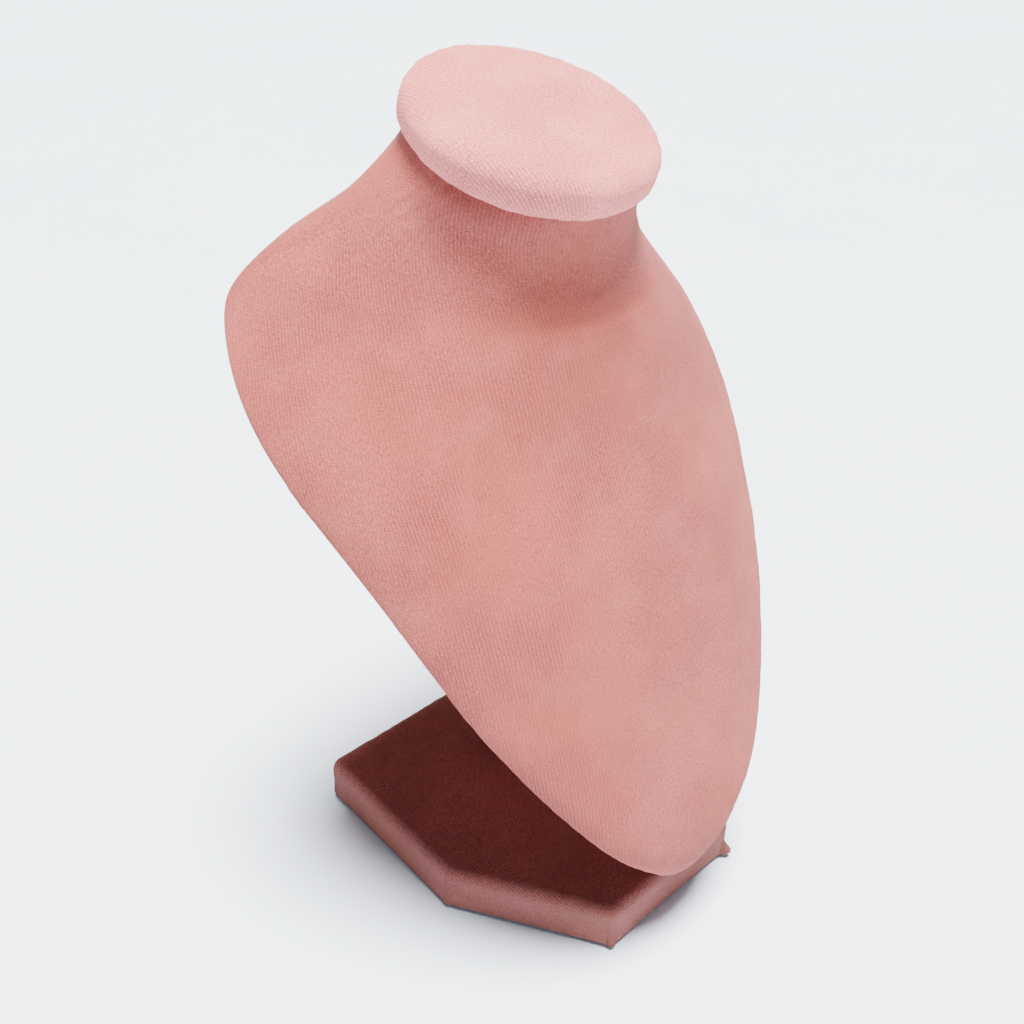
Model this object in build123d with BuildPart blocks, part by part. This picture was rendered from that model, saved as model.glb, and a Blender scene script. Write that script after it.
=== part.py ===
"""Necklace display bust: a padded, fabric-covered bust with an oval cap, leaning back over
a covered six-sided base board and carried by an upright post behind the chest.

Frame: millimetres, +Z up, the front of the bust faces -Y, X = 0 is the plane of symmetry.
The origin is the middle of the base board's footprint, z = 0 is the face it rests on.
"""

import os
from math import atan2, cos, degrees, hypot, radians, sin

from build123d import *

os.makedirs("parts", exist_ok=True)

# ---------------------------------------------------------------- driving dimensions
fabric = 0.9  # velour knit, thickness
bust_wadding_thickness = 1.1
shell_thickness = 2.4
cap_wadding_thickness = 1.5

# six-sided base
base_depth = 88.0
base_width = 90.0
base_front_width = 44.0
base_chamfer_depth = 37.0
base_height = 14.0
base_corner_radius = 3.0
base_edge_radius = 3.4
lining_thickness = 1.1
lining_inset = 2.0
hem_width = 13.0
staple_width = 10.0
staple_wire = 0.6
staple_leg = 6.0
staple_inset = 7.5
staple_spacing = 26.0

# oval cap on the neck
cap_half_width = 26.5
cap_half_depth = 27.5
cap_thickness = 8.0
cap_edge_radius = 3.6
cap_tilt = 18.4  # degrees, front edge lower
cap_centre_y = 16.0
cap_centre_z = 185.0
cap_hem_width = 7.0

# upright post behind the chest
post_width = 16.0
post_front_y = 12.0
post_rear_y = 22.0
post_top_z = 128.0
post_corner_radius = 2.0
foot_screw_offset = 4.0
top_screw_offset = 4.0
top_screw_z = 106.0
top_screw_slope = 42.0  # degrees below level
top_screw_length = 30.0
chest_block_centre = (4.0, 119.0)  # y, z
chest_block_size = (18.0, 24.0)  # along y, along z
chest_block_half_width = 14.0

rim_lap = 1.0  # how far the front skins wrap round behind the rim's widest line
tip_pin_radius = 0.8
tip_pin_y = -39.4
tip_pin_foot_z = 4.0
tip_pin_length = 15.0

screw_shank_radius = 1.4
screw_head_radius = 3.0
screw_head_height = 2.2
thread_depth = 0.4
thread_pitch = 1.6

# Stations of the bust, from the tip up to the top of the neck:
# height, tilt, half width, y of the side line, depth in front of it, depth behind it,
# fullness of the front (1 is nearly an ellipse, less is more pointed).
stations = [
    (14.0, 0, 5.0, -42.0, 3.4, 8.5, 0.96),
    (18.0, 0, 7.8, -44.4, 4.0, 8.0, 0.96),
    (25.0, 0, 13.6, -46.0, 5.2, 7.2, 0.95),
    (36.0, 0, 23.8, -44.8, 5.8, 5.6, 0.85),
    (50.0, 0, 34.0, -38.0, 9.0, 4.6, 0.8),
    (66.0, 0, 43.2, -28.0, 14.0, 4.2, 0.75),
    (82.0, 0, 50.2, -17.7, 19.2, 4.2, 0.7),
    (98.0, 0, 55.5, -6.2, 25.0, 4.2, 0.65),
    (113.0, 0, 60.2, 6.8, 31.5, 4.2, 0.65),
    (126.0, 0, 63.6, 20.0, 38.0, 4.2, 0.6),
    (137.5, 0, 63.0, 33.5, 47.5, 4.3, 0.57),
    (147.0, 1, 58.8, 44.4, 56.0, 5.0, 0.56),
    (153.6, 3, 54.3, 48.5, 58.5, 8.0, 0.56),
    (158.0, 6, 50.0, 46.5, 55.0, 11.0, 0.6),
    (162.0, 9, 44.5, 42.3, 49.8, 14.0, 0.65),
    (166.0, 11, 38.0, 35.5, 41.5, 17.0, 0.75),
    (170.5, 13, 32.6, 29.3, 34.2, 18.8, 0.85),
    (175.5, 16, 28.2, 22.2, 27.2, 21.8, 0.95),
]
neck_ring_half_width = 25.0
neck_ring_half_depth = 24.3
shell_inset = fabric + bust_wadding_thickness
hollow_inset = shell_inset + shell_thickness


# ---------------------------------------------------------------- helpers
def tilted_plane(y, z, tilt):
    """Plane across the bust whose front edge is lower than its back by the tilt."""
    normal = (0, -sin(radians(tilt)), cos(radians(tilt)))
    return Plane(origin=(0, y, z), x_dir=(1, 0, 0), z_dir=normal)


cap_plane = tilted_plane(cap_centre_y, cap_centre_z, cap_tilt)
neck_top_plane = cap_plane.offset(-cap_thickness / 2)


def half_oval(half_width, depth, fullness=0.96):
    """Rounded half of a section, from side to side; a negative half width runs it backwards."""
    reach = half_width * fullness
    handle = depth * 4 / 3
    Bezier((-half_width, 0), (-reach, handle), (reach, handle), (half_width, 0))


def bust_form(inset):
    """The whole bust body, every side drawn in by the inset, cut flat under the cap."""
    least_back = 4.0 if inset > shell_inset else 0.0  # the hollow opens right through the back
    with BuildPart() as form:
        for height, tilt, width, side_y, front, back, fullness in stations:
            if front - inset < 4.0 and inset > shell_inset:
                continue  # the moulded shell is solid down in the tip
            lift = inset if height == stations[0][0] else 0.0
            with BuildSketch(tilted_plane(side_y, height + lift, tilt)):
                with BuildLine():
                    half_oval(width - inset, inset - front, fullness)
                    half_oval(inset - width, max(back - inset, least_back))
                make_face()
        with BuildSketch(neck_top_plane):
            with BuildLine():
                half_oval(neck_ring_half_width - inset, inset - neck_ring_half_depth)
                half_oval(inset - neck_ring_half_width, neck_ring_half_depth - inset)
            make_face()
        loft()
    return form.part


# the closed forms that the skins of the bust are cut from
outer_form = bust_form(0)
under_cover_form = bust_form(fabric)
under_wadding_form = bust_form(shell_inset)
hollow_form = bust_form(hollow_inset)

# everything behind the widest line of the rim, up to the top of the shoulders
with BuildPart() as rear_zone:
    with BuildSketch(Plane.YZ):
        with BuildLine():
            rim_points = [(row[3] + rim_lap, row[0]) for row in stations if row[0] < 160]
            rim_line = Spline(*rim_points)
            Polyline(rim_line @ 1, (90, 158), (90, 0), (rim_points[0][0], 0), rim_line @ 0)
        make_face()
    extrude(amount=100, both=True)


def screw(length, recess=True):
    """Countersunk wood screw pointing down from the face of its head at the origin."""
    with BuildPart() as body:
        with BuildSketch(Plane.XZ):
            with BuildLine():
                outline = [(0, 0), (screw_head_radius, 0)]
                outline.append((screw_shank_radius, -screw_head_height))
                shank_end = length - 3.0
                plain = -0.35 * length
                outline.append((screw_shank_radius, plain))
                count = int((shank_end + plain) / thread_pitch)
                for turn in range(count):
                    start = plain - turn * thread_pitch
                    outline.append((screw_shank_radius - thread_depth, start - 0.3))
                    outline.append((screw_shank_radius, start - thread_pitch + 0.3))
                outline.append((screw_shank_radius - thread_depth, -shank_end))
                outline.append((0, -length))
                Polyline(*outline, close=True)
            make_face()
        revolve(axis=Axis.Z)
        if recess:
            with BuildSketch(Plane.XY):
                Rectangle(3.6, 0.7)
                Rectangle(0.7, 3.6)
            extrude(amount=-1.0, mode=Mode.SUBTRACT)
    return body.part


def screws_at(plane, spots, length, recess=True):
    """Several screws driven along the plane's -Z from its face, as one group."""
    with BuildPart() as group:
        for spot in spots:
            add((plane * Location((spot[0], spot[1], 0))) * screw(length, recess))
    return group.part


# ---------------------------------------------------------------- fixings
head_face = lining_thickness + fabric
post_middle_y = (post_front_y + post_rear_y) / 2
post_screw_spots = [(-foot_screw_offset, post_middle_y), (foot_screw_offset, post_middle_y)]
under_base_plane = Plane(origin=(0, 0, head_face), x_dir=(1, 0, 0), z_dir=(0, 0, -1))
foot_spots = [(x, -y) for x, y in post_screw_spots]
foot_holes = screws_at(under_base_plane, foot_spots, 30.0, recess=False)
with BuildPart() as post_foot_screws:
    add(screws_at(under_base_plane, foot_spots, 30.0))
post_foot_screws.part.label = "post_foot_screws"
export_step(post_foot_screws.part, "parts/post_foot_screws.step")

head_direction = (0, cos(radians(top_screw_slope)), -sin(radians(top_screw_slope)))
rear_screw_plane = Plane(origin=(0, post_rear_y, top_screw_z), x_dir=(1, 0, 0), z_dir=head_direction)
top_spots = [(-top_screw_offset, 0), (top_screw_offset, 0)]
top_holes = screws_at(rear_screw_plane, top_spots, top_screw_length, recess=False)
with BuildPart() as post_top_screws:
    add(screws_at(rear_screw_plane, top_spots, top_screw_length))
with BuildPart() as clearance_holes:
    with BuildSketch(rear_screw_plane):
        with Locations(*top_spots):
            Circle(screw_shank_radius)
    extrude(amount=-top_screw_length)
post_top_screws.part.label = "post_top_screws"
export_step(post_top_screws.part, "parts/post_top_screws.step")

board_thickness = cap_thickness - 2 * fabric - cap_wadding_thickness
board_bottom = -cap_thickness / 2 + fabric
cap_screw_plane = cap_plane.offset(board_bottom + board_thickness)
cap_spots = [(-9.0, 0), (9.0, 0)]
cap_holes = screws_at(cap_screw_plane, cap_spots, 15.0, recess=False)
with BuildPart() as cap_screws:
    add(screws_at(cap_screw_plane, cap_spots, 15.0))
cap_screws.part.label = "cap_screws"
export_step(cap_screws.part, "parts/cap_screws.step")

with BuildPart() as tip_pin:
    with BuildSketch(Plane.XY.offset(tip_pin_foot_z)):
        with Locations((0, tip_pin_y)):
            Circle(tip_pin_radius)
    extrude(amount=tip_pin_length)
    chamfer(tip_pin.edges().filter_by(GeomType.CIRCLE), 0.4)
tip_pin.part.label = "tip_pin"
export_step(tip_pin.part, "parts/tip_pin.step")

# ---------------------------------------------------------------- bust
with BuildPart() as bust_cover:
    add(outer_form)
    add(under_cover_form, mode=Mode.SUBTRACT)
    add(rear_zone.part, mode=Mode.SUBTRACT)
    add(tip_pin.part, mode=Mode.SUBTRACT)
bust_cover.part.label = "bust_cover"
export_step(bust_cover.part, "parts/bust_cover.step")

with BuildPart() as back_cover:
    add(outer_form)
    add(under_cover_form, mode=Mode.SUBTRACT)
    add(rear_zone.part, mode=Mode.INTERSECT)
    add(clearance_holes.part, mode=Mode.SUBTRACT)
    add(tip_pin.part, mode=Mode.SUBTRACT)
back_cover.part.label = "back_cover"
export_step(back_cover.part, "parts/back_cover.step")

with BuildPart() as bust_wadding:
    add(under_cover_form)
    add(under_wadding_form, mode=Mode.SUBTRACT)
    add(rear_zone.part, mode=Mode.SUBTRACT)
    add(tip_pin.part, mode=Mode.SUBTRACT)
bust_wadding.part.label = "bust_wadding"
export_step(bust_wadding.part, "parts/bust_wadding.step")

with BuildPart() as bust_shell:
    add(under_wadding_form)
    add(hollow_form, mode=Mode.SUBTRACT)
    add(rear_zone.part, mode=Mode.SUBTRACT)
    add(tip_pin.part, mode=Mode.SUBTRACT)
bust_shell.part.label = "bust_shell"
export_step(bust_shell.part, "parts/bust_shell.step")

with BuildPart() as back_panel:
    add(under_cover_form)
    add(rear_zone.part, mode=Mode.INTERSECT)
    add(clearance_holes.part, mode=Mode.SUBTRACT)
    add(tip_pin.part, mode=Mode.SUBTRACT)
back_panel.part.label = "back_panel"
export_step(back_panel.part, "parts/back_panel.step")

with BuildPart() as chest_block:
    with BuildSketch(Plane.YZ):
        with Locations(chest_block_centre):
            Rectangle(*chest_block_size)
    extrude(amount=chest_block_half_width, both=True)
    add(hollow_form, mode=Mode.INTERSECT)
    add(rear_zone.part, mode=Mode.SUBTRACT)
    add(top_holes, mode=Mode.SUBTRACT)
chest_block.part.label = "chest_block"
export_step(chest_block.part, "parts/chest_block.step")

with BuildPart() as neck_plug:
    with BuildSketch(neck_top_plane):
        Ellipse(cap_half_width, cap_half_width)
    extrude(amount=-16.0)
    add(hollow_form, mode=Mode.INTERSECT)
    with BuildSketch(neck_top_plane):
        Ellipse(cap_half_width - cap_hem_width - 0.5, cap_half_depth - cap_hem_width - 0.5)
    extrude(amount=fabric)
    add(cap_holes, mode=Mode.SUBTRACT)
neck_plug.part.label = "neck_plug"
export_step(neck_plug.part, "parts/neck_plug.step")


# ---------------------------------------------------------------- cap
def cap_form(inset, bottom, top):
    """Oval slab with rounded edges, between two heights of the cap's own plane."""
    with BuildPart() as slab:
        with BuildSketch(cap_plane.offset(bottom)):
            Ellipse(cap_half_width - inset, cap_half_depth - inset)
        extrude(amount=top - bottom)
        rounding = min(cap_edge_radius - inset, (top - bottom) * 0.45)
        fillet(slab.edges(), rounding)
    return slab.part


cap_top = cap_thickness / 2
with BuildPart() as cap_cover:
    add(cap_form(0, -cap_top, cap_top))
    add(cap_form(fabric, -cap_top + fabric, cap_top - fabric), mode=Mode.SUBTRACT)
    with BuildSketch(cap_plane.offset(-cap_top - 0.1)):
        Ellipse(cap_half_width - cap_hem_width, cap_half_depth - cap_hem_width)
    extrude(amount=fabric + 0.2, mode=Mode.SUBTRACT)
cap_cover.part.label = "cap_cover"
export_step(cap_cover.part, "parts/cap_cover.step")

with BuildPart() as cap_board:
    add(cap_form(fabric, -cap_top + fabric, cap_top - fabric))
    with BuildSketch(cap_screw_plane):
        Rectangle(100, 100)
    extrude(amount=20, mode=Mode.SUBTRACT)
    add(cap_holes, mode=Mode.SUBTRACT)
cap_board.part.label = "cap_board"
export_step(cap_board.part, "parts/cap_board.step")

with BuildPart() as cap_wadding:
    add(cap_form(fabric, -cap_top + fabric, cap_top - fabric))
    with BuildSketch(cap_screw_plane):
        Rectangle(100, 100)
    extrude(amount=-20, mode=Mode.SUBTRACT)
cap_wadding.part.label = "cap_wadding"
export_step(cap_wadding.part, "parts/cap_wadding.step")


# ---------------------------------------------------------------- base
def base_outline(inset):
    """Six-sided outline of the base, drawn in by the inset."""
    half_front = base_front_width / 2
    half_side = base_width / 2
    front = -base_depth / 2
    with BuildSketch() as outline:
        with BuildLine():
            Polyline(
                (-half_front, front),
                (half_front, front),
                (half_side, front + base_chamfer_depth),
                (half_side, base_depth / 2),
                (-half_side, base_depth / 2),
                (-half_side, front + base_chamfer_depth),
                close=True,
            )
        make_face()
        if inset > 0:
            offset(amount=-inset, kind=Kind.INTERSECTION, mode=Mode.REPLACE)
    return outline.sketch


def base_form(inset, bottom, top, edge_radius):
    """Base slab with rounded corners; only the top edges are rounded over."""
    with BuildPart() as slab:
        with BuildSketch(Plane.XY.offset(bottom)):
            add(base_outline(inset))
        extrude(amount=top - bottom)
        fillet(slab.edges().filter_by(Axis.Z), base_corner_radius - inset)
        if edge_radius > 0:
            fillet(slab.faces().sort_by(Axis.Z)[-1].edges(), edge_radius)
    return slab.part


def hem_staples():
    """Spots along the turned-under hem: x, y and the direction of the nearest edge."""
    half_front = base_front_width / 2
    half_side = base_width / 2
    front = -base_depth / 2
    right = [(0, front), (half_front, front), (half_side, front + base_chamfer_depth)]
    right += [(half_side, base_depth / 2), (0, base_depth / 2)]
    spots = []
    for start, end in zip(right, right[1:]):
        run = (end[0] - start[0], end[1] - start[1])
        length = hypot(*run)
        count = max(1, round(length / staple_spacing))
        for step in range(count):
            share = (step + 0.5) / count
            x = start[0] + run[0] * share - run[1] / length * staple_inset
            y = start[1] + run[1] * share + run[0] / length * staple_inset
            turn = degrees(atan2(run[1], run[0]))
            spots.append((x, y, turn))
            spots.append((-x, y, -turn))
    return spots


board_top = base_height - fabric
with BuildPart() as base_staples:
    for x, y, turn in hem_staples():
        with BuildSketch(Plane.XY.offset(lining_thickness)):
            with Locations(Location((x, y, 0), (0, 0, turn))):
                Rectangle(staple_width, staple_wire)
        extrude(amount=staple_wire)
        with BuildSketch(Plane.XY.offset(lining_thickness)):
            with Locations(Location((x, y, 0), (0, 0, turn))):
                with GridLocations(staple_width - staple_wire, 0, 2, 1):
                    Rectangle(staple_wire, staple_wire)
        extrude(amount=staple_leg)
base_staples.part.label = "base_staples"
export_step(base_staples.part, "parts/base_staples.step")

with BuildPart() as base_cover:
    add(base_form(0, lining_thickness, base_height, base_edge_radius))
    add(base_form(fabric, head_face, board_top, base_edge_radius - fabric), mode=Mode.SUBTRACT)
    with BuildSketch(Plane.XY.offset(lining_thickness - 0.1)):
        add(base_outline(hem_width))
    extrude(amount=fabric + 0.2, mode=Mode.SUBTRACT)
    add(base_staples.part, mode=Mode.SUBTRACT)
    add(tip_pin.part, mode=Mode.SUBTRACT)
    add(foot_holes, mode=Mode.SUBTRACT)
base_cover.part.label = "base_cover"
export_step(base_cover.part, "parts/base_cover.step")

with BuildPart() as base_board:
    add(base_form(fabric, head_face, board_top, base_edge_radius - fabric))
    add(base_staples.part, mode=Mode.SUBTRACT)
    add(tip_pin.part, mode=Mode.SUBTRACT)
    add(foot_holes, mode=Mode.SUBTRACT)
base_board.part.label = "base_board"
export_step(base_board.part, "parts/base_board.step")

with BuildPart() as base_lining:
    with BuildSketch(Plane.XY):
        add(base_outline(lining_inset))
    extrude(amount=lining_thickness)
    with BuildSketch(Plane.XY.offset(lining_thickness)):
        add(base_outline(hem_width))
    extrude(amount=fabric)
base_lining.part.label = "base_lining"
export_step(base_lining.part, "parts/base_lining.step")


# ---------------------------------------------------------------- upright post
def post_form(inset):
    """Upright behind the chest, its top cut to the slope of the bust's back."""
    depth = post_rear_y - post_front_y
    with BuildPart() as upright:
        with BuildSketch(Plane.XY.offset(base_height)):
            with Locations((0, post_middle_y)):
                corner = post_corner_radius - inset
                RectangleRounded(post_width - 2 * inset, depth - 2 * inset, corner)
        extrude(amount=post_top_z - base_height)
        add(outer_form, mode=Mode.SUBTRACT)
    return upright.part


with BuildPart() as post_cover:
    add(post_form(0))
    add(post_form(fabric), mode=Mode.SUBTRACT)
    add(top_holes, mode=Mode.SUBTRACT)
post_cover.part.label = "post_cover"
export_step(post_cover.part, "parts/post_cover.step")

with BuildPart() as support_post:
    add(post_form(fabric))
    add(top_holes, mode=Mode.SUBTRACT)
    add(foot_holes, mode=Mode.SUBTRACT)
support_post.part.label = "support_post"
export_step(support_post.part, "parts/support_post.step")
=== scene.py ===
"""Looks of the necklace display bust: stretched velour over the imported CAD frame."""

import math

import bpy
import numpy as np
from mathutils import Matrix, Vector, noise
from mathutils.bvhtree import BVHTree


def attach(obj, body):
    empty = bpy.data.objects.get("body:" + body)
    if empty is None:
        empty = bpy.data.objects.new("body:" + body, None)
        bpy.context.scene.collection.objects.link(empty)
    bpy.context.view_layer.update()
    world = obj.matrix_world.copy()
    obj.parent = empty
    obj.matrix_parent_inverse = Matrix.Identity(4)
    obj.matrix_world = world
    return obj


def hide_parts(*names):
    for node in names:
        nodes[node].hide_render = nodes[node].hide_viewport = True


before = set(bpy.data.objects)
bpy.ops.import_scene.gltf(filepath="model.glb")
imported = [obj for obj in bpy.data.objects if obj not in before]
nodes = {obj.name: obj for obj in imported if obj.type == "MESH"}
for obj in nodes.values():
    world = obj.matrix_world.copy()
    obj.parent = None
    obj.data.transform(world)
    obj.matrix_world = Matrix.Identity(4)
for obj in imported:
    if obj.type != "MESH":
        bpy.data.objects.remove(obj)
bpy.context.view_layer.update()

MM = 0.001

# ------------------------------------------------------------------ sizes, in millimetres
BASE_HEIGHT = 14.0
BASE_CORNERS = ((22.0, -44.0), (45.0, -7.0), (45.0, 44.0))
BASE_CORNER_RADIUS = 3.0
BASE_EDGE_RADIUS = 3.4
TOP_CORNER_RADIUS = 0.35  # where the top face meets the rounded edge
HEM_SHRINK = 33.0
BASE_FOOT_RADIUS = 0.8  # where the wall turns under
LINING = 1.1
LINING_INSET = 2.0
BASE_HEM = 13.0
CAP_HALF_WIDTH = 26.5
CAP_HALF_DEPTH = 27.5
CAP_THICKNESS = 8.0
CAP_EDGE_RADIUS = 3.6
CAP_TILT = math.radians(18.4)
CAP_CENTRE = np.array((0.0, 16.0, 185.0))
CAP_HEM = 7.0
CAP_UNDER_ROLL = 0.9  # the knit bunches a little below the board
CAP_CROWN = 0.45
POLE = 1e-4  # radius of the tiny ring in the middle of the cap's top
POST_HALF_WIDTH = 8.0
POST_FRONT = 12.0
POST_REAR = 22.0
POST_CORNER = 2.0
RIM_LAP = 1.0
SUN_FROM = (0.04, -0.05, 1.0)
SUN_POWER = 18.0
SUN_ANGLE = math.radians(20)
WORLD_POWER = 0.36  # light that the world gives
WORLD_SEEN = 3.4  # brightness that the camera sees it at
STAND_OFF = 0.12  # how far the visible cloth lies outside the CAD solid's face
SNAP_LIFT = 1.0  # how far outside a point starts before it drops onto the CAD face
CLEAR_SEARCH = 3.0  # how far keep_clear looks for what is under the cloth

# Stations of the bust: height, tilt, half width, y of the side line, depth in front of it,
# depth behind it, fullness of the front.
STATIONS = np.array((
    (14.0, 0, 5.0, -42.0, 3.4, 8.5, 0.96),
    (18.0, 0, 7.8, -44.4, 4.0, 8.0, 0.96),
    (25.0, 0, 13.6, -46.0, 5.2, 7.2, 0.95),
    (36.0, 0, 23.8, -44.8, 5.8, 5.6, 0.85),
    (50.0, 0, 34.0, -38.0, 9.0, 4.6, 0.8),
    (66.0, 0, 43.2, -28.0, 14.0, 4.2, 0.75),
    (82.0, 0, 50.2, -17.7, 19.2, 4.2, 0.7),
    (98.0, 0, 55.5, -6.2, 25.0, 4.2, 0.65),
    (113.0, 0, 60.2, 6.8, 31.5, 4.2, 0.65),
    (126.0, 0, 63.6, 20.0, 38.0, 4.2, 0.6),
    (137.5, 0, 63.0, 33.5, 47.5, 4.3, 0.57),
    (147.0, 1, 58.8, 44.4, 56.0, 5.0, 0.56),
    (153.6, 3, 54.3, 48.5, 58.5, 8.0, 0.56),
    (158.0, 6, 50.0, 46.5, 55.0, 11.0, 0.6),
    (162.0, 9, 44.5, 42.3, 49.8, 14.0, 0.65),
    (166.0, 11, 38.0, 35.5, 41.5, 17.0, 0.75),
    (170.5, 13, 32.6, 29.3, 34.2, 18.8, 0.85),
    (175.5, 16, 28.2, 22.2, 27.2, 21.8, 0.95),
    (181.2, 18.4, 25.0, 17.3, 24.3, 24.3, 0.96),
))
BACK_TOP_STATION = 13  # the back cover ends at this station
BACK_FULLNESS = 0.96
CLEAR_OF_WADDING = 0.45  # least gap between the cloth and the wadding or back panel
ROW_PITCH = 0.62
FRONT_COLUMNS = 270
LAP_COLUMNS = 4
BACK_COLUMNS = 120
TOP_RINGS = 12  # rings at the top of the neck that are not lifted off the wadding
SEAM_TUCK = 0.32
SEAM_WIDTH = 1.3  # in columns or rows of the grid
RIM_ROLL_COLUMNS = 7.0
RIM_ROLL_ROUNDS = 14
BRIDGE_ROWS = 34.0
BRIDGE_COLUMNS = 30.0
BRIDGE_ROUNDS = 16
BURIED_RING = 0.9  # how far the last ring goes up into the cap
PUCKER_ROWS = 26
PUCKER_HEIGHT = 0.16


# ------------------------------------------------------------------ helpers
def smooth_table(knots, rows, at):
    """Monotone cubic interpolation of every column of rows over knots."""
    step = np.diff(knots)[:, None]
    slope = np.diff(rows, axis=0) / step
    tangent = np.zeros_like(rows)
    same = slope[:-1] * slope[1:] > 0
    weight = 2 * slope[:-1] * slope[1:] / np.where(same, slope[:-1] + slope[1:], 1)
    tangent[1:-1] = np.where(same, weight, 0)
    tangent[0] = slope[0]
    tangent[-1] = slope[-1]
    index = np.clip(np.searchsorted(knots, at, side="right") - 1, 0, len(knots) - 2)
    width = step[index]
    t = ((at - knots[index]) / step[index, 0])[:, None]
    h00 = 2 * t**3 - 3 * t**2 + 1
    h10 = t**3 - 2 * t**2 + t
    h01 = -2 * t**3 + 3 * t**2
    h11 = t**3 - t**2
    return (h00 * rows[index] + h10 * width * tangent[index]
            + h01 * rows[index + 1] + h11 * width * tangent[index + 1])


def arc_resample(line, count):
    """count + 1 points evenly spaced along a polyline."""
    lengths = np.linalg.norm(np.diff(line, axis=0), axis=1)
    along = np.concatenate(([0], np.cumsum(lengths)))
    wanted = np.linspace(0, along[-1], count + 1)
    return np.stack([np.interp(wanted, along, line[:, k]) for k in range(line.shape[1])], 1)


def surface_tree(*names):
    """Search tree over CAD nodes, in metres."""
    points, faces = [], []
    for name in names:
        mesh = nodes[name].data
        start = len(points)
        points += [v.co.copy() for v in mesh.vertices]
        faces += [[start + i for i in p.vertices] for p in mesh.polygons]
    return BVHTree.FromPolygons(points, faces)


def grid_normals(grid):
    """Unit normals of a grid of points whose columns close into a ring."""
    down = np.gradient(grid, axis=0)
    across = (np.roll(grid, -1, 1) - np.roll(grid, 1, 1)) / 2
    normal = np.cross(across, down)
    return normal / np.maximum(np.linalg.norm(normal, axis=2, keepdims=True), 1e-12)


def snap_out(grid, normals, tree):
    """Points moved to just outside the nearest CAD face, approached from outside."""
    out = grid.copy()
    high = grid + normals * SNAP_LIFT
    for r in range(grid.shape[0]):
        for c in range(grid.shape[1]):
            point = Vector(high[r, c] * MM)
            place = tree.find_nearest(point)[0]
            away = point - place
            if away.length > 1e-7:
                place = place + away.normalized() * STAND_OFF * MM
            out[r, c] = np.array(place) / MM
    return out


def keep_clear(grid, normals, tree, gap):
    """Lifts the points that lie closer than the gap to what is under the cloth."""
    out = grid.copy()
    for r in range(grid.shape[0]):
        for c in range(grid.shape[1]):
            point = Vector(grid[r, c] * MM)
            place = tree.find_nearest(point, CLEAR_SEARCH * MM)[0]
            if place is None:
                continue
            height = (point - place).dot(Vector(normals[r, c])) / MM
            if height < gap:
                out[r, c] += normals[r, c] * (gap - height)
    return out


def relax(grid, rounds, weight=None):
    """Laplacian smoothing of a ringed grid; weight limits it to part of the grid."""
    for _ in range(rounds):
        sides = (np.roll(grid, -1, 1) + np.roll(grid, 1, 1)) / 2
        ends = grid.copy()
        ends[1:-1] = (grid[2:] + grid[:-2]) / 2
        mean = (sides + ends) / 2
        mean[0] = grid[0]
        mean[-1] = grid[-1]
        share = 0.5 if weight is None else 0.5 * weight[..., None]
        grid = grid + (mean - grid) * share
    return grid


def roughen(grid, normals, layers, fade=None):
    """Adds several sizes of noise along the normals: (feature size, height, seed) each."""
    lift = np.zeros(grid.shape[:2])
    for size, height, seed in layers:
        shift = Vector((seed * 7.13, seed * 3.71, seed * 5.39))
        for r in range(grid.shape[0]):
            for c in range(grid.shape[1]):
                lift[r, c] += height * noise.noise(Vector(grid[r, c] / size) + shift)
    if fade is not None:
        lift *= fade
    return grid + normals * lift[..., None]


def mesh_from_grid(name, grid, uv, keep=None):
    """Mesh object from a ringed grid in millimetres; keep says which quads exist."""
    rows, columns = grid.shape[:2]
    faces, coords = [], []
    for r in range(rows - 1):
        for c in range(columns):
            if keep is not None and not keep[r, c]:
                continue
            d = (c + 1) % columns
            faces.append((r * columns + c, r * columns + d,
                          (r + 1) * columns + d, (r + 1) * columns + c))
            # the last quad carries on past the ring's end instead of jumping back to its start
            right = uv[r, d] if d else 2 * uv[r, c] - uv[r, c - 1]
            upper = uv[r + 1, d] if d else 2 * uv[r + 1, c] - uv[r + 1, c - 1]
            coords.append((uv[r, c], right, upper, uv[r + 1, c]))
    used = np.unique(np.array(faces))
    renumber = np.full(rows * columns, -1)
    renumber[used] = np.arange(len(used))
    mesh = bpy.data.meshes.new(name)
    points = grid.reshape(-1, 3)[used] * MM
    mesh.from_pydata(points.tolist(), [], renumber[np.array(faces)].tolist())
    layer = mesh.uv_layers.new(name="Weave")
    layer.data.foreach_set("uv", np.array(coords, np.float32).ravel())
    mesh.polygons.foreach_set("use_smooth", [True] * len(faces))
    mesh.update()
    thing = bpy.data.objects.new(name, mesh)
    bpy.context.scene.collection.objects.link(thing)
    return thing


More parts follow.
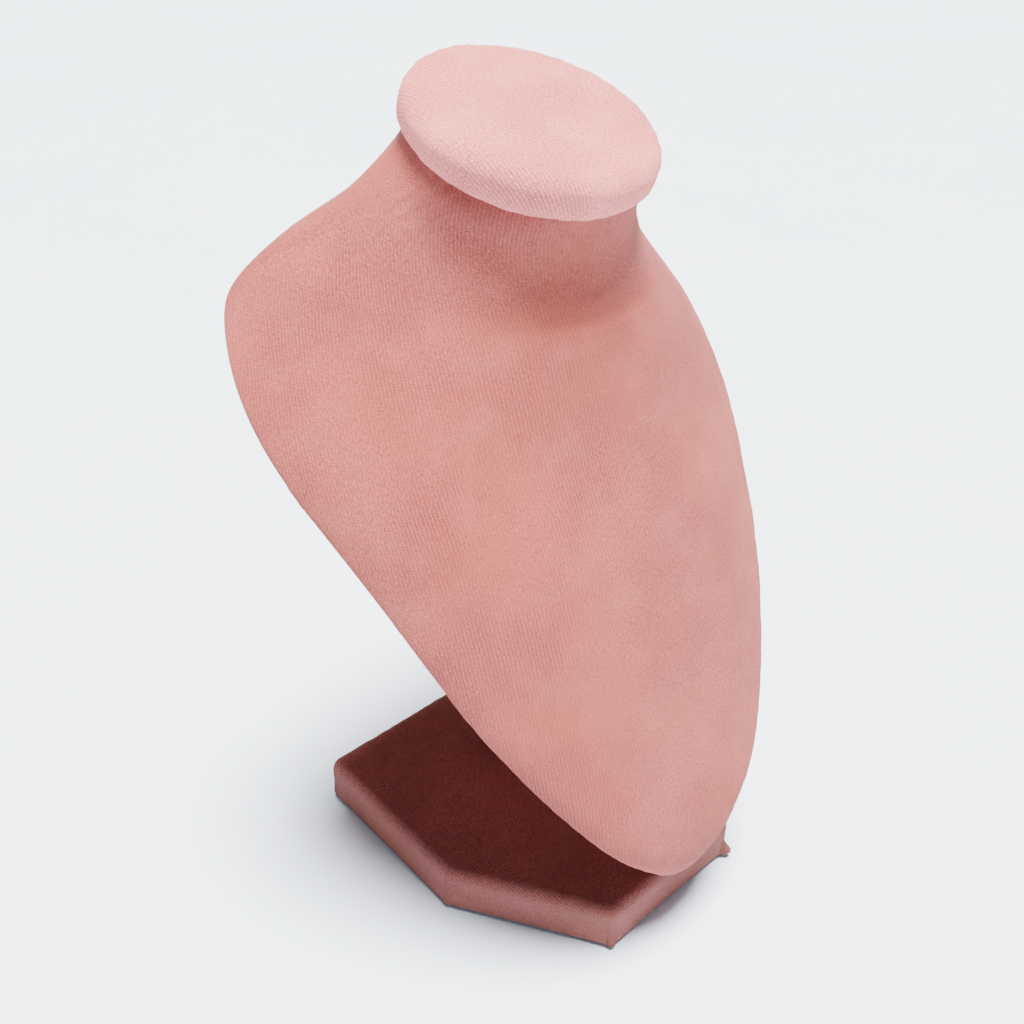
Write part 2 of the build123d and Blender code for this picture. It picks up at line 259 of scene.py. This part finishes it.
# ------------------------------------------------------------------ materials
class Nodes:
    """Small builder for a material's node tree."""

    def __init__(self, name):
        self.material = bpy.data.materials.new(name)
        self.material.use_nodes = True
        self.tree = self.material.node_tree
        self.shader = self.tree.nodes["Principled BSDF"]

    def link(self, source, target):
        self.tree.links.new(source, target)

    def put(self, kind, **inputs):
        node = self.tree.nodes.new(kind)
        for key, value in inputs.items():
            socket = node.inputs[key.replace("_", " ")]
            if hasattr(value, "links"):
                self.link(value, socket)
            else:
                socket.default_value = value
        return node

    def math(self, operation, a, b=0.0, clamp=False):
        node = self.tree.nodes.new("ShaderNodeMath")
        node.operation = operation
        node.use_clamp = clamp
        for socket, value in zip(node.inputs, (a, b)):
            if hasattr(value, "links"):
                self.link(value, socket)
            else:
                socket.default_value = value
        return node.outputs[0]

    def noise(self, vector, scale, detail=2.0, roughness=0.5):
        node = self.put("ShaderNodeTexNoise", Vector=vector, Scale=scale, Detail=detail,
                        Roughness=roughness)
        return node.outputs["Fac"]

    def mapping(self, vector, scale=(1, 1, 1), turn=0.0):
        node = self.put("ShaderNodeMapping", Vector=vector)
        node.inputs["Scale"].default_value = scale
        node.inputs["Rotation"].default_value = (0, 0, turn)
        return node.outputs[0]

    def ramp(self, value, stops):
        node = self.tree.nodes.new("ShaderNodeValToRGB")
        self.link(value, node.inputs[0])
        elements = node.color_ramp.elements
        while len(elements) < len(stops):
            elements.new(0.5)
        for element, (place, colour) in zip(elements, stops):
            element.position = place
            element.color = (*colour, 1)
        return node.outputs[0]

    def mix(self, share, a, b, blend="MIX"):
        node = self.tree.nodes.new("ShaderNodeMix")
        node.data_type = "RGBA"
        node.blend_type = blend
        for socket, value in zip((node.inputs[0], node.inputs[6], node.inputs[7]), (share, a, b)):
            if hasattr(value, "links"):
                self.link(value, socket)
            elif isinstance(value, tuple):
                socket.default_value = (*value, 1)
            else:
                socket.default_value = value
        return node.outputs[2]

    def bump(self, height, distance, strength=1.0, under=None):
        node = self.put("ShaderNodeBump", Height=height, Distance=distance, Strength=strength)
        if under is not None:
            self.link(under, node.inputs["Normal"])
        return node.outputs[0]


def linear(r, g, b):
    """Linear colour from 0-255 display values."""
    def one(v):
        v /= 255
        return v / 12.92 if v <= 0.04045 else ((v + 0.055) / 1.055) ** 2.4
    return (one(r), one(g), one(b))


PINK = linear(184, 92, 86)
PINK_LIGHT = linear(228, 146, 136)
PINK_DEEP = linear(118, 42, 42)
PINK_WARM = linear(184, 98, 76)
CHEST_TINT = (1.0, 0.83, 0.80)
LINT_DARK = linear(96, 50, 44)
LINT_ORANGE = linear(222, 138, 84)
RIB_PITCH = 0.82  # millimetres across the wales
STITCH_SHARE = 0.8  # a stitch's length as a share of the rib pitch
WEAR_SHARE = 0.15
LINT_SHARE = 0.6
PILE_HEIGHT = 0.9


def velour(name, tint, rib_depth=0.20, cap_shade_band=None):
    """Brushed rib knit: fine wales, stitches across them, lying pile, blotches and lint."""
    n = Nodes(name)
    uv = n.tree.nodes.new("ShaderNodeUVMap")
    uv.uv_map = "Weave"
    flat = n.mapping(uv.outputs[0])
    place = n.tree.nodes.new("ShaderNodeTexCoord").outputs["Object"]
    # the wales wander a little, as stretched knit does
    wander = n.put("ShaderNodeTexNoise", Vector=flat, Scale=0.16, Detail=2.0)
    shift = n.tree.nodes.new("ShaderNodeVectorMath")
    shift.operation = "MULTIPLY_ADD"
    n.link(wander.outputs["Color"], shift.inputs[0])
    shift.inputs[1].default_value = (0.3, 0.3, 0)
    n.link(flat, shift.inputs[2])
    split = n.put("ShaderNodeSeparateXYZ", Vector=shift.outputs[0])
    across = n.math("MULTIPLY", split.outputs[0], 2 * math.pi / RIB_PITCH)
    along = n.math("MULTIPLY", split.outputs[1], 2 * math.pi / (RIB_PITCH * STITCH_SHARE))
    wale = n.math("MULTIPLY_ADD", n.math("SINE", across), 0.5)
    wale.node.inputs[2].default_value = 0.5
    stitch = n.math("MULTIPLY_ADD", n.math("SINE", along), 0.5)
    stitch.node.inputs[2].default_value = 0.5
    knit = n.math("MULTIPLY", n.math("MULTIPLY_ADD", stitch, 0.45), wale)
    knit.node.inputs[0].links[0].from_node.inputs[2].default_value = 0.55
    # lying pile: short streaks, and finer grain over them
    streak = n.noise(n.mapping(flat, (3.4, 1.2, 1), 0.2), 1.0, 3.0, 0.65)
    cross_streak = n.noise(n.mapping(flat, (1.2, 3.2, 1), -0.2), 1.0, 2.0, 0.6)
    grain = n.noise(flat, 5.4, 2.0, 0.7)
    finer = n.math("ADD", n.math("MULTIPLY", cross_streak, 0.17), n.math("MULTIPLY", grain, 0.55))
    fibre = n.math("ADD", n.math("MULTIPLY", streak, 0.28), finer)
    # patches where the pile has been brushed flat and shows no wales
    patch = n.noise(place, 42.0, 2.0)
    brushed = n.ramp(patch, ((0.38, (0.45, 0.45, 0.45)), (0.6, (1, 1, 1))))
    visible_knit = n.math("MULTIPLY", knit, brushed)
    tone = n.ramp(fibre, ((0.38, PINK_DEEP), (0.49, PINK), (0.60, PINK_LIGHT)))
    # painted shade: the grooves between the wales are darkened
    painted_groove_shade = n.math("MULTIPLY", n.math("SUBTRACT", 1.0, knit), n.math("MULTIPLY", brushed, 0.5))
    tone = n.mix(painted_groove_shade, tone, PINK_DEEP)
    blotch = n.noise(place, 24.0, 3.0, 0.55)
    tone = n.mix(n.ramp(blotch, ((0.42, (0, 0, 0)), (0.72, (0.55, 0.55, 0.55)))), tone, PINK_WARM)
    wear = n.noise(place, 90.0, 3.0, 0.6)
    worn = n.ramp(wear, ((0.5, (0, 0, 0)), (0.75, (1, 1, 1))))
    tone = n.mix(n.math("MULTIPLY", worn, WEAR_SHARE), tone, PINK_LIGHT)
    # rare specks of lint
    for scale, size, colour in ((0.075, 0.020, LINT_DARK), (0.05, 0.026, LINT_ORANGE)):
        turned = n.mapping(flat, (1, 1.3, 1), scale * 9)
        speck = n.put("ShaderNodeTexVoronoi", Vector=turned, Scale=scale)
        mask = n.math("LESS_THAN", speck.outputs["Distance"], size)
        tone = n.mix(n.math("MULTIPLY", mask, LINT_SHARE), tone, colour)
    if cap_shade_band is not None:
        # painted shade: the neck velour darkens towards the edge tucked under the cap
        height = n.put("ShaderNodeSeparateXYZ", Vector=uv.outputs[0]).outputs[1]
        near = n.math("DIVIDE", n.math("SUBTRACT", height, cap_shade_band[0]), cap_shade_band[1], clamp=True)
        tone = n.mix(n.math("MULTIPLY", n.math("POWER", near, 1.6), 0.55), tone, PINK_DEEP)
    # the tint is the chest's own colour; on the cap it adds painted light and on the base painted shade
    tone = n.mix(1.0, tone, tint, "MULTIPLY")
    n.link(tone, n.shader.inputs["Base Color"])
    rough = n.math("MULTIPLY_ADD", fibre, 0.16)
    rough.node.inputs[2].default_value = 0.82
    n.link(rough, n.shader.inputs["Roughness"])
    n.shader.inputs["Specular IOR Level"].default_value = 0.22
    n.shader.inputs["Sheen Weight"].default_value = 0.08
    n.shader.inputs["Sheen Roughness"].default_value = 0.45
    n.shader.inputs["Sheen Tint"].default_value = (1.0, 0.80, 0.77, 1)
    ribs = n.bump(visible_knit, rib_depth * MM, 1.0)
    pile = n.bump(fibre, PILE_HEIGHT * MM, 0.85, ribs)
    n.link(pile, n.shader.inputs["Normal"])
    return n.material


def plain(name, colours, scale, stretch=(1, 1, 1), roughness=(0.5, 0.7), depth=0.1, metallic=0.0,
          detail=4.0):
    """Grained material: noise stretched along the grain drives colour, roughness and bump."""
    n = Nodes(name)
    place = n.tree.nodes.new("ShaderNodeTexCoord").outputs["Object"]
    grain = n.noise(n.mapping(place, stretch), scale, detail, 0.6)
    fine = n.noise(n.mapping(place, stretch), scale * 6, 2.0, 0.6)
    both = n.math("ADD", n.math("MULTIPLY", grain, 0.65), n.math("MULTIPLY", fine, 0.35))
    stops = tuple((0.32 + 0.36 * i / (len(colours) - 1), c) for i, c in enumerate(colours))
    n.link(n.ramp(both, stops), n.shader.inputs["Base Color"])
    rough = n.math("MULTIPLY_ADD", both, roughness[1] - roughness[0])
    rough.node.inputs[2].default_value = roughness[0]
    n.link(rough, n.shader.inputs["Roughness"])
    n.shader.inputs["Metallic"].default_value = metallic
    n.link(n.bump(both, depth * MM), n.shader.inputs["Normal"])
    return n.material


# ------------------------------------------------------------------ bust velour
def bust_grid():
    """Rings of points round the bust and their places on the cloth, in millimetres."""
    centre = np.stack([STATIONS[:, 3] - STATIONS[:, 4] * 0.8, STATIONS[:, 0]], 1)
    steps = np.linalg.norm(np.diff(centre, axis=0), axis=1)
    knots = np.concatenate(([0], np.cumsum(steps)))
    samples, boundary = [], 0
    for i, step in enumerate(steps):
        if i == BACK_TOP_STATION:
            boundary = len(samples)
        count = max(3, round(step / ROW_PITCH))
        samples += list(knots[i] + step * np.arange(count) / count)
    samples.append(knots[-1])
    table = smooth_table(knots, STATIONS, np.array(samples))
    buried = table[-1] + (BURIED_RING, 0, 0, -0.3, 0, 0, 0)  # last ring, hidden inside the cap
    table = np.concatenate((table, buried[None, :]))
    samples.append(samples[-1] + BURIED_RING)
    s = np.linspace(0, 1, 241)[:, None]
    grid, cloth = [], []
    for row, (height, tilt, width, side, front, back, fullness) in enumerate(table):
        tilt = math.radians(tilt)

        def half(depth, full, direction):
            x = direction * width * (-(1 - s)**3 - 3 * full * (1 - s)**2 * s
                                     + 3 * full * (1 - s) * s**2 + s**3)
            y = 4 * depth * s * (1 - s)
            return np.concatenate((x, y), 1)

        front_line = half(-front, fullness, 1)
        back_line = half(back, BACK_FULLNESS, -1)
        lap = int(np.argmax(back_line[:, 1] >= min(RIM_LAP, back * 0.5)))
        lap = max(lap, 2)
        ring = np.concatenate((
            arc_resample(front_line, FRONT_COLUMNS)[:-1],
            arc_resample(back_line[:lap + 1], LAP_COLUMNS)[:-1],
            arc_resample(back_line[lap:-lap], BACK_COLUMNS)[:-1],
            arc_resample(back_line[-lap - 1:], LAP_COLUMNS)[:-1],
        ))
        points = np.stack((ring[:, 0], side + ring[:, 1] * math.cos(tilt),
                           height + ring[:, 1] * math.sin(tilt)), 1)
        grid.append(points)
        lengths = np.linalg.norm(np.diff(ring, axis=0, append=ring[:1]), axis=1)
        along = np.concatenate(([0], np.cumsum(lengths)))[:-1]
        width_along = along - along[FRONT_COLUMNS // 2]
        cloth.append(np.stack((width_along, np.full(len(ring), samples[row])), 1))
    return np.array(grid), np.array(cloth), boundary


def dress_bust():
    """Front and back velour of the bust, and the cloth's length at the neck."""
    grid, cloth, back_row = bust_grid()
    neck_end = float(cloth[-1, 0, 1])
    columns = grid.shape[1]
    tree = surface_tree("bust_cover", "back_cover")
    normals = grid_normals(grid)
    grid[:-1] = snap_out(grid, normals, tree)[:-1]
    # the cloth rolls over the rim, so its sharp line is relaxed
    column = np.arange(columns)
    from_rim = np.minimum(np.abs(column - FRONT_COLUMNS),
                          np.minimum(column, columns - column))
    rolled = np.clip(1 - from_rim / RIM_ROLL_COLUMNS, 0, 1)[None, :] * np.ones((grid.shape[0], 1))
    grid = relax(grid, RIM_ROLL_ROUNDS, rolled)
    # where shoulder, back and neck meet, the cloth bridges in one soft curve
    from_corner = np.abs(np.arange(grid.shape[0]) - back_row)[:, None]
    near_corner = np.clip(1 - from_corner / BRIDGE_ROWS, 0, 1)
    bridged = near_corner * np.clip(1 - from_rim / BRIDGE_COLUMNS, 0, 1)[None, :]
    grid = relax(grid, BRIDGE_ROUNDS, bridged)
    grid = relax(grid, 2)
    normals = grid_normals(grid)
    # seam between the front and the back cover: both edges tuck into a narrow valley
    left = FRONT_COLUMNS + LAP_COLUMNS
    right = columns - LAP_COLUMNS
    seam = np.minimum(np.abs(column - left), np.abs(column - right))[None, :]
    row = np.arange(grid.shape[0])[:, None]
    tuck = SEAM_TUCK * np.exp(-(seam / SEAM_WIDTH)**2) * (row <= back_row)
    behind = (column > left) & (column < right)
    across = SEAM_TUCK * np.exp(-((row - back_row) / SEAM_WIDTH)**2) * behind[None, :]
    tuck = np.maximum(tuck, across)
    grid = grid - normals * tuck[..., None]
    # small puckers where the knit is drawn in under the cap
    rows = grid.shape[0]
    top = np.clip((row - (rows - PUCKER_ROWS)) / PUCKER_ROWS, 0, 1)
    angle = np.linspace(0, 2 * math.pi, columns, endpoint=False)[None, :]
    pucker = np.sin(angle * 31 + 1.7 * np.sin(angle * 5)) * np.sin(angle * 3 + 1.0)**2
    grid = grid + normals * (PUCKER_HEIGHT * top * pucker)[..., None]
    fade = np.clip(row / 6.0, 0, 1) * np.ones((1, columns))
    grid = roughen(grid, normals, ((9.0, 0.16, 1), (2.6, 0.09, 2), (1.1, 0.07, 3)), fade)
    under = surface_tree("bust_wadding", "back_panel")
    grid[:-TOP_RINGS] = keep_clear(grid, normals, under, CLEAR_OF_WADDING)[:-TOP_RINGS]
    back = np.zeros((rows - 1, columns), bool)
    back[:back_row, left:right] = True
    front_piece = mesh_from_grid("bust_velour", grid, cloth, ~back)
    back_piece = mesh_from_grid("back_velour", grid, cloth, back)
    return front_piece, back_piece, neck_end


# ------------------------------------------------------------------ cap velour
def dress_cap():
    """Velour over the oval cap: crowned top, rounded edge, gathered hem."""
    around = 480
    angle = np.linspace(0, 2 * math.pi, around, endpoint=False)
    half = CAP_THICKNESS / 2
    profile = []  # inset from the outline, height, distance along the cloth
    steps = 52
    for i in range(steps):
        share = i / steps
        inset = CAP_HALF_WIDTH - (CAP_HALF_WIDTH - CAP_EDGE_RADIUS) * share
        crown = CAP_CROWN * (1 - share**2.2)
        profile.append((inset, half + crown))
    for i in range(29):
        turn = math.pi / 2 * i / 14
        inset = CAP_EDGE_RADIUS * (1 - math.sin(turn))
        height = CAP_EDGE_RADIUS * math.cos(turn)
        drop = half - CAP_EDGE_RADIUS if i <= 14 else CAP_EDGE_RADIUS - half - CAP_UNDER_ROLL
        profile.append((inset, height + drop))
    for i in range(1, 9):
        inset = CAP_EDGE_RADIUS + (CAP_HEM - CAP_EDGE_RADIUS) * i / 8
        profile.append((inset, -half - CAP_UNDER_ROLL * (1 - i / 8)))
    profile = np.array(profile)
    along = np.concatenate(([0], np.cumsum(np.linalg.norm(np.diff(profile, axis=0), axis=1))))
    grid, cloth = [], []
    up = np.array((0, -math.sin(CAP_TILT), math.cos(CAP_TILT)))
    forward = np.array((0, math.cos(CAP_TILT), math.sin(CAP_TILT)))
    side = np.array((1.0, 0, 0))
    for (inset, height), distance in zip(profile, along):
        scale = 1 - inset / CAP_HALF_WIDTH
        x = max(CAP_HALF_WIDTH * scale, POLE) * np.cos(angle)
        y = max(CAP_HALF_DEPTH * scale, POLE) * np.sin(angle)
        gather = 0.0
        if height < -half + 0.6:
            fold = np.clip((inset - 1.5) / 4.0, 0, 1)
            gather = -0.28 * fold * (0.5 + 0.5 * np.sin(angle * 34 + 2 * np.sin(angle * 4)))
        points = (CAP_CENTRE + side * x[:, None] + forward * y[:, None]
                  + up * (height + gather * np.ones(around))[:, None])
        grid.append(points)
        cloth.append(np.stack((distance * np.cos(angle), distance * np.sin(angle)), 1))
    grid = np.array(grid)
    normals = -grid_normals(grid)
    facing = ((grid - CAP_CENTRE) * normals).sum(2)
    normals *= np.sign(facing.sum())
    normals[0] = up
    grid = grid + normals * STAND_OFF
    # pulled tight round the rim: faint flats between the pulls, and lumpy pile
    grid = roughen(grid, normals, ((7.0, 0.22, 11), (2.4, 0.15, 12), (0.9, 0.10, 13)),
                   np.clip(along / 2.0, 0, 1)[:, None] * np.ones((1, around)))
    return mesh_from_grid("cap_velour", grid, np.array(cloth))


# ------------------------------------------------------------------ base velour
def base_ring(corner_segments=9, pitch=0.8):
    """Centres of the corner arcs, outward normals and corner closeness round the base."""
    corners = [np.array((x, y)) for x, y in BASE_CORNERS]
    loop = corners + [c * (-1, 1) for c in reversed(corners)]
    count = len(loop)
    outward = []
    for i in range(count):
        run = loop[(i + 1) % count] - loop[i]
        outward.append(np.array((run[1], -run[0])) / np.linalg.norm(run))
    core = []
    for i in range(count):
        a, b = outward[i - 1], outward[i]
        bisector = (a + b) / (1 + a @ b)
        core.append(loop[i] - bisector * BASE_CORNER_RADIUS)
    centres, normals, corner = [], [], []
    for i in range(count):
        a, b = outward[i - 1], outward[i]
        start = math.atan2(a[1], a[0])
        turn = (math.atan2(b[1], b[0]) - start) % (2 * math.pi)
        for k in range(corner_segments + 1):
            angle = start + turn * k / corner_segments
            centres.append(core[i])
            normals.append((math.cos(angle), math.sin(angle)))
            corner.append((i, 0.0, 2 * k / corner_segments - 1))
        run = core[(i + 1) % count] - core[i]
        length = np.linalg.norm(run)
        steps = max(4, round(length / pitch))
        for k in range(1, steps):
            centres.append(core[i] + run * k / steps)
            normals.append(tuple(b))
            near = min(k / steps * length, (1 - k / steps) * length)
            first_half = k < steps / 2
            corner.append((i if first_half else (i + 1) % count, near, 1 if first_half else -1))
    return np.array(centres), np.array(normals), corner


# how far the folded cloth stands out at the foot of each corner, in millimetres
DOG_EARS = {0: 2.4, 1: 0.5, 2: 0.4, 3: 0.3, 4: 0.25, 5: 0.7}


def dress_base():
    """Velour over the base board: flat top, rounded edge, wall, foot and turned-under hem."""
    centres, normals2, corner = base_ring()
    count = len(centres)
    profile = []  # share of the core outline, radius about it, height, distance past the core
    rings = 46
    for i in range(rings):
        profile.append((max(i / rings, 1e-4), TOP_CORNER_RADIUS, BASE_HEIGHT, None))
    for i in range(13):
        turn = math.pi / 2 * i / 12
        spread = BASE_CORNER_RADIUS - TOP_CORNER_RADIUS
        radius = BASE_CORNER_RADIUS - spread * (1 - math.sin(turn))
        height = BASE_HEIGHT - BASE_EDGE_RADIUS * (1 - math.cos(turn))
        profile.append((1.0, radius, height, turn * BASE_EDGE_RADIUS))
    bottom = LINING
    wall = BASE_HEIGHT - BASE_EDGE_RADIUS - bottom - BASE_FOOT_RADIUS
    down = BASE_EDGE_RADIUS * math.pi / 2
    for i in range(1, 15):
        drop = wall * i / 14
        profile.append((1.0, BASE_CORNER_RADIUS, BASE_HEIGHT - BASE_EDGE_RADIUS - drop, down + drop))
    for i in range(1, 6):
        turn = math.pi / 2 * i / 5
        profile.append((1.0, BASE_CORNER_RADIUS - BASE_FOOT_RADIUS * (1 - math.cos(turn)),
                        bottom + BASE_FOOT_RADIUS * (1 - math.sin(turn)),
                        down + wall + turn * BASE_FOOT_RADIUS))
    for i in range(1, 11):
        inward = (BASE_HEM - 1.0) * i / 10
        profile.append((1.0, BASE_CORNER_RADIUS - BASE_FOOT_RADIUS - inward, bottom,
                        down + wall + 1.3 + inward))
    grid, cloth = [], []
    for share, radius, height, distance in profile:
        flat = (centres + normals2 * max(radius, TOP_CORNER_RADIUS)) * share
        if radius < TOP_CORNER_RADIUS:
            # past the arc centres the turned-under hem only shrinks towards the middle
            flat = flat * (1 + (radius - TOP_CORNER_RADIUS) / HEM_SHRINK)
        ring = np.concatenate((flat, np.full((count, 1), height)), 1)
        for k, (index, near, way) in enumerate(corner):
            ear = DOG_EARS[index]
            low = math.exp(-((height - 2.2) / 1.9)**2)
            inside = 1.0 if distance is not None and radius > 0 else 0.0
            if near == 0.0:
                bulge = math.exp(-(way * 1.6)**2)
            else:
                bulge = math.exp(-2.56 - near / 1.4)
            ring[k, :2] += normals2[k] * ear * low * bulge * inside
            # the upright fold stands a little proud up the whole corner
            ring[k, :2] += normals2[k] * 0.12 * bulge * inside
        grid.append(ring)
        if distance is None:
            cloth.append(flat)
        else:
            cloth.append(centres + normals2 * (distance + TOP_CORNER_RADIUS))
    grid = np.array(grid)
    normals = grid_normals(grid)
    if normals[5, 0, 2] < 0:
        normals = -normals
    grid = grid + normals * STAND_OFF * np.where(grid[..., 2:3] > 1.3, 1, 0)
    fade = np.clip((grid[..., 2] - 1.4) / 3.0, 0, 1)
    grid = roughen(grid, normals, ((11.0, 0.22, 21), (2.6, 0.10, 22), (1.0, 0.05, 23)), fade)
    return mesh_from_grid("base_velour", grid, np.array(cloth))


# ------------------------------------------------------------------ post velour and lining felt
def dress_post():
    """Velour sleeve of the upright, cut to the back of the bust."""
    tree = surface_tree("bust_cover", "back_cover")
    half_depth = (POST_REAR - POST_FRONT) / 2
    middle = (POST_REAR + POST_FRONT) / 2
    outline = []
    for cx, cy, start in ((1, -1, -90), (1, 1, 0), (-1, 1, 90), (-1, -1, 180)):
        for k in range(9):
            angle = math.radians(start + 90 * k / 8)
            x = cx * (POST_HALF_WIDTH - POST_CORNER) + POST_CORNER * math.cos(angle)
            y = middle + cy * (half_depth - POST_CORNER) + POST_CORNER * math.sin(angle)
            outline.append((x, y))
    outline = arc_resample(np.array(outline + outline[:1]), 88)[:-1]
    tops = []
    for x, y in outline:
        hit = tree.ray_cast(Vector((x * MM, y * MM, 40 * MM)), Vector((0, 0, 1)))
        tops.append(hit[0].z / MM if hit[0] else 100.0)
    tops = np.array(tops)
    rows = 130
    share = np.linspace(0, 1, rows)[:, None]
    z = BASE_HEIGHT + (tops[None, :] - BASE_HEIGHT) * share
    grid = np.stack((np.broadcast_to(outline[:, 0], z.shape),
                     np.broadcast_to(outline[:, 1], z.shape), z), 2).copy()
    normals = grid_normals(grid)
    if normals[5, 0, 1] > 0:
        normals = -normals
    ends = np.clip(np.minimum(share, 1 - share) * 20, 0, 1) * np.ones((1, len(outline)))
    column = np.arange(len(outline))[None, :]
    seam_column = int(np.argmax(outline[:, 1] - np.abs(outline[:, 0])))
    seam = 0.35 * np.exp(-((column - seam_column) / 0.9)**2)
    grid = grid + normals * (STAND_OFF - seam)[..., None]
    grid = roughen(grid, normals, ((6.0, 0.12, 31), (1.6, 0.08, 32)), ends)
    along = np.concatenate(([0], np.cumsum(np.linalg.norm(np.diff(outline, axis=0), axis=1))))
    cloth = np.stack((np.broadcast_to(along, z.shape), z), 2)
    return mesh_from_grid("post_velour", grid, cloth)


def lay_felt():
    """Closed sheet of felt under the base, its cut edge a little soft."""
    centres, normals2, _ = base_ring(pitch=1.4)
    profile = [(max(i / 24, 1e-4), None, LINING) for i in range(24)]
    profile += [(1, -0.25, LINING), (1, 0.0, LINING - 0.25), (1, 0.0, 0.3), (1, -0.3, 0.0)]
    profile += [(max(1 - i / 24, 1e-4), None, 0.0) for i in range(1, 25)]
    grid, cloth = [], []
    for share, edge, height in profile:
        radius = BASE_CORNER_RADIUS - LINING_INSET + (edge or 0.0)
        flat = (centres + normals2 * (radius if edge is not None else radius - 0.4)) * share
        grid.append(np.concatenate((flat, np.full((len(flat), 1), height)), 1))
        cloth.append(flat + (200 if height < 0.2 else 0))
    grid = np.array(grid)
    up = np.zeros_like(grid)
    up[..., 2] = 1
    grid = roughen(grid, up, ((3.0, 0.05, 41), (1.2, 0.04, 42)), (grid[..., 2] > 0.6) * 1.0)
    return mesh_from_grid("lining_felt", grid, np.array(cloth))


# ------------------------------------------------------------------ put together
bust, back, NECK_END = dress_bust()
cap = dress_cap()
base = dress_base()
post = dress_post()
felt = lay_felt()

FELT_COLOURS = (linear(30, 28, 28), linear(52, 48, 48), linear(88, 84, 84))
dressing = (
    # the bust velour carries a painted shade band below the cap
    (bust, "bust_cover", velour("velour_bust", CHEST_TINT, cap_shade_band=(NECK_END - 9.0, 9.0))),
    (back, "back_cover", velour("velour_back", CHEST_TINT)),
    # painted light: the cap velour is tinted about twice as bright as the chest's, standing in for the
    # overhead light on its top
    (cap, "cap_cover", velour("velour_cap", (1.95, 2.05, 2.15), rib_depth=0.08)),
    # painted shade: the base velour is tinted darker than the chest's, standing in for the shade under
    # the bust
    (base, "base_cover", velour("velour_base", (0.66, 0.76, 0.76), rib_depth=0.2)),
    (post, "post_cover", velour("velour_post", (0.9, 0.84, 0.82))),
    (felt, "base_lining", plain("felt_black", FELT_COLOURS, 900.0, roughness=(0.9, 1.0), depth=0.25)),
)
for piece, node, material in dressing:
    piece.data.materials.append(material)
    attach(piece, "root")
    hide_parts(node)

wood = plain("softwood", (linear(196, 158, 110), linear(214, 178, 130), linear(228, 196, 150)), 160.0,
             (1, 1, 0.12), (0.55, 0.75), 0.08)
board = plain("fibreboard", (linear(140, 108, 72), linear(168, 132, 92), linear(190, 156, 114)), 700.0,
              roughness=(0.75, 0.9), depth=0.12)
plastic = plain("shell_plastic", (linear(214, 211, 203), linear(226, 223, 216), linear(234, 232, 226)),
                180.0, roughness=(0.42, 0.55), depth=0.03)
fluff = plain("wadding", (linear(222, 219, 210), linear(238, 236, 229), linear(248, 247, 243)), 420.0,
              roughness=(0.92, 1.0), depth=0.6)
steel = plain("screw_steel", (linear(150, 147, 138), linear(182, 178, 166), linear(208, 205, 196)), 900.0,
              (1, 1, 0.2), (0.25, 0.42), 0.02, 1.0)
wire = plain("wire", (linear(160, 160, 160), linear(186, 186, 186), linear(206, 206, 206)), 1400.0,
             (0.2, 0.2, 1), (0.28, 0.45), 0.01, 1.0)
inside = {
    "bust_wadding": fluff, "cap_wadding": fluff, "bust_shell": plastic, "back_panel": board,
    "cap_board": board, "base_board": board, "chest_block": wood, "neck_plug": wood,
    "support_post": wood, "base_staples": wire, "post_foot_screws": steel,
    "post_top_screws": steel, "cap_screws": steel, "tip_pin": steel,
}
for name, material in inside.items():
    nodes[name].data.materials.clear()
    nodes[name].data.materials.append(material)

# ------------------------------------------------------------------ floor, light, camera
FLOOR = plain("floor", (linear(224, 238, 252), linear(226, 240, 253), linear(228, 241, 254)), 6.0,
              roughness=(0.6, 0.7), depth=0.02)
floor_mesh = bpy.data.meshes.new("floor")
floor_mesh.from_pydata([(-4, -4, 0), (4, -4, 0), (4, 4, 0), (-4, 4, 0)], [], [(0, 1, 2, 3)])
floor = bpy.data.objects.new("floor", floor_mesh)
floor_mesh.materials.append(FLOOR)
bpy.context.scene.collection.objects.link(floor)

world = bpy.data.worlds.new("studio")
bpy.context.scene.world = world
world.use_nodes = True
sky = world.node_tree.nodes["Background"]
sky.inputs[0].default_value = (0.90, 0.95, 1.0, 1)
sky.inputs[1].default_value = WORLD_POWER
# the room behind the floor is seen as pale as the floor, but lights the bust only softly
seen = world.node_tree.nodes.new("ShaderNodeLightPath")
choice = world.node_tree.nodes.new("ShaderNodeMix")
choice.data_type = "FLOAT"
choice.inputs[2].default_value = WORLD_POWER
choice.inputs[3].default_value = WORLD_SEEN
world.node_tree.links.new(seen.outputs["Is Camera Ray"], choice.inputs[0])
world.node_tree.links.new(choice.outputs[0], sky.inputs[1])

sun_data = bpy.data.lights.new("overhead", "SUN")
sun_data.energy = SUN_POWER
sun_data.angle = SUN_ANGLE
sun_data.color = (1.0, 0.985, 0.97)
sun = bpy.data.objects.new("overhead", sun_data)
sun.rotation_euler = Vector(SUN_FROM).to_track_quat("Z", "Y").to_euler()
bpy.context.scene.collection.objects.link(sun)

CAMERA_PLACE = Vector((-0.15666, -0.14808, 0.24318))
CAMERA_YAW = math.radians(43.12)
CAMERA_DOWN = math.radians(33.75)
CAMERA_ROLL = math.radians(1.2)
look = Vector((math.sin(CAMERA_YAW) * math.cos(CAMERA_DOWN),
               math.cos(CAMERA_YAW) * math.cos(CAMERA_DOWN), -math.sin(CAMERA_DOWN)))
level = Vector((math.cos(CAMERA_YAW), -math.sin(CAMERA_YAW), 0))
upward = level.cross(look)
right_axis = level * math.cos(CAMERA_ROLL) + upward * math.sin(CAMERA_ROLL)
up_axis = upward * math.cos(CAMERA_ROLL) - level * math.sin(CAMERA_ROLL)
turn = Matrix((right_axis, up_axis, -look)).transposed().to_4x4()
camera_data = bpy.data.cameras.new("camera")
camera_data.lens = 38.62
camera_data.sensor_width = 36.0
camera_data.clip_start = 0.01
camera = bpy.data.objects.new("camera", camera_data)
camera.matrix_world = Matrix.Translation(CAMERA_PLACE) @ turn
bpy.context.scene.collection.objects.link(camera)
bpy.context.scene.camera = camera
